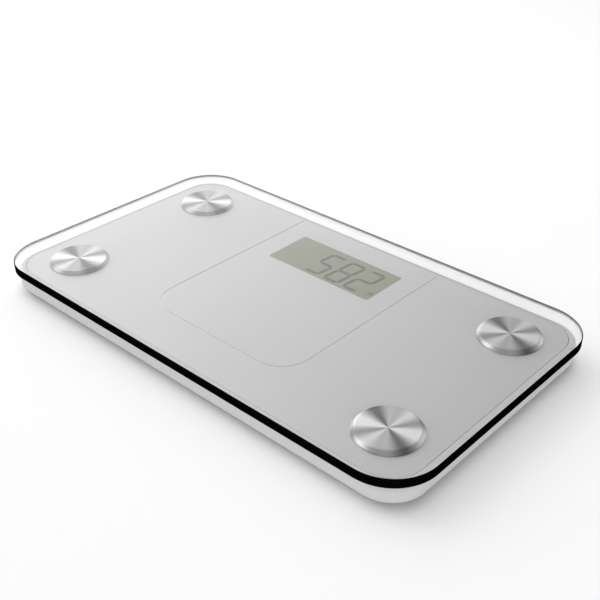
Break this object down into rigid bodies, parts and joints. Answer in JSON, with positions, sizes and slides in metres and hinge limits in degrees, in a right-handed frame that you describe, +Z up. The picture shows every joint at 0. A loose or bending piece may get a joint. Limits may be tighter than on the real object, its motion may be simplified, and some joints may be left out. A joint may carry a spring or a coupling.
{
  "type": "digital bathroom scale",
  "caption": "Flat digital bathroom scale with a clear glass platform standing on round spun metal discs over a silver deck with a display window.",
  "frame": {"origin": "on the floor under the middle of the scale", "axes": "+Z up, +X along the long side, +Y towards the edge beside the display"},
  "size_m": [0.33, 0.1902, 0.021],
  "materials": {
    "clear_glass": "clear polished toughened plate",
    "silver_deck": "fine silver lacquer on moulded plastic",
    "base_plastic": "light grey satin moulding",
    "spun_metal": "turned in concentric rings",
    "inner_plastic": "dark moulded plastic",
    "cell_steel": "nickel plated spring steel",
    "foot_plastic": "light grey moulding",
    "foot_rubber": "soft black rubber",
    "wire_cover": "soft wire covering",
    "clear_bond": "cured clear adhesive",
    "screw_steel": "zinc plated",
    "gauge_film": "amber film with metal foil",
    "window_lens": "clear acrylic",
    "cell_glass": "polished glass with polariser",
    "reflector_film": "grey green reflective film",
    "elastomer": "soft striped elastomer",
    "circuit_board": "green solder mask",
    "chip_resin": "black poured resin",
    "contact_metal": "nickel plated strip",
    "ceramic_chip": "fired ceramic",
    "switch_plastic": "black moulding",
    "button_plastic": "dark grey moulding",
    "cell_can": "drawn steel can",
    "door_plastic": "light grey moulding",
    "label_film": "blank satin film"
  },
  "bodies": {
    "base": {"glass_platform": "clear_glass", "upper_deck": "silver_deck", "lower_tray": "base_plastic", "standoff_disc_front_left": "spun_metal", "cell_carrier_front_left": "inner_plastic", "load_cell_front_left": "cell_steel", "cell_wire_front_left": "wire_cover", "standoff_disc_front_right": "spun_metal", "cell_carrier_front_right": "inner_plastic", "load_cell_front_right": "cell_steel", "cell_wire_front_right": "wire_cover", "standoff_disc_back_left": "spun_metal", "cell_carrier_back_left": "inner_plastic", "load_cell_back_left": "cell_steel", "cell_wire_back_left": "wire_cover", "standoff_disc_back_right": "spun_metal", "cell_carrier_back_right": "inner_plastic", "load_cell_back_right": "cell_steel", "cell_wire_back_right": "wire_cover", "disc_bonds": "clear_bond", "disc_screws": "screw_steel", "strain_gauges": "gauge_film", "shell_screws": "screw_steel", "board_screws": "screw_steel", "display_window": "window_lens", "display_front_glass": "cell_glass", "display_rear_glass": "cell_glass", "display_reflector": "reflector_film", "display_frame": "inner_plastic", "elastomer_strip": "elastomer", "main_board": "circuit_board", "chip_blob": "chip_resin", "crystal_can": "contact_metal", "chip_capacitors": "ceramic_chip", "unit_switch": "switch_plastic", "battery_cup": "inner_plastic", "coin_cell": "cell_can", "negative_contact": "contact_metal", "positive_contact": "contact_metal", "battery_wire": "wire_cover", "rating_label": "label_film"},
    "foot_front_left": {"foot_front_left": "foot_plastic", "foot_pad_front_left": "foot_rubber"},
    "foot_front_right": {"foot_front_right": "foot_plastic", "foot_pad_front_right": "foot_rubber"},
    "foot_back_left": {"foot_back_left": "foot_plastic", "foot_pad_back_left": "foot_rubber"},
    "foot_back_right": {"foot_back_right": "foot_plastic", "foot_pad_back_right": "foot_rubber"},
    "door": {"battery_door": "door_plastic"},
    "button": {"unit_button": "button_plastic"}
  },
  "joints": [
    {"name": "foot_slide_front_left", "type": "slide", "parent": "base", "child": "foot_front_left", "axis": [0, 0, 1], "range_m": [0, 0.0005], "stiffness_N_per_m": 12000, "springref_m": -0.0005},
    {"name": "foot_slide_front_right", "type": "slide", "parent": "base", "child": "foot_front_right", "axis": [0, 0, 1], "range_m": [0, 0.0005], "stiffness_N_per_m": 12000, "springref_m": -0.0005},
    {"name": "foot_slide_back_left", "type": "slide", "parent": "base", "child": "foot_back_left", "axis": [0, 0, 1], "range_m": [0, 0.0005], "stiffness_N_per_m": 12000, "springref_m": -0.0005},
    {"name": "foot_slide_back_right", "type": "slide", "parent": "base", "child": "foot_back_right", "axis": [0, 0, 1], "range_m": [0, 0.0005], "stiffness_N_per_m": 12000, "springref_m": -0.0005},
    {"name": "door_turn", "type": "hinge", "parent": "base", "child": "door", "pos_m": [0, -0.03, 0.0022], "axis": [0, 0, 1], "range_deg": [0, 60]},
    {"name": "button_press", "type": "slide", "parent": "base", "child": "button", "axis": [0, 0, 1], "range_m": [0, 0.0004], "stiffness_N_per_m": 600}
  ]
}
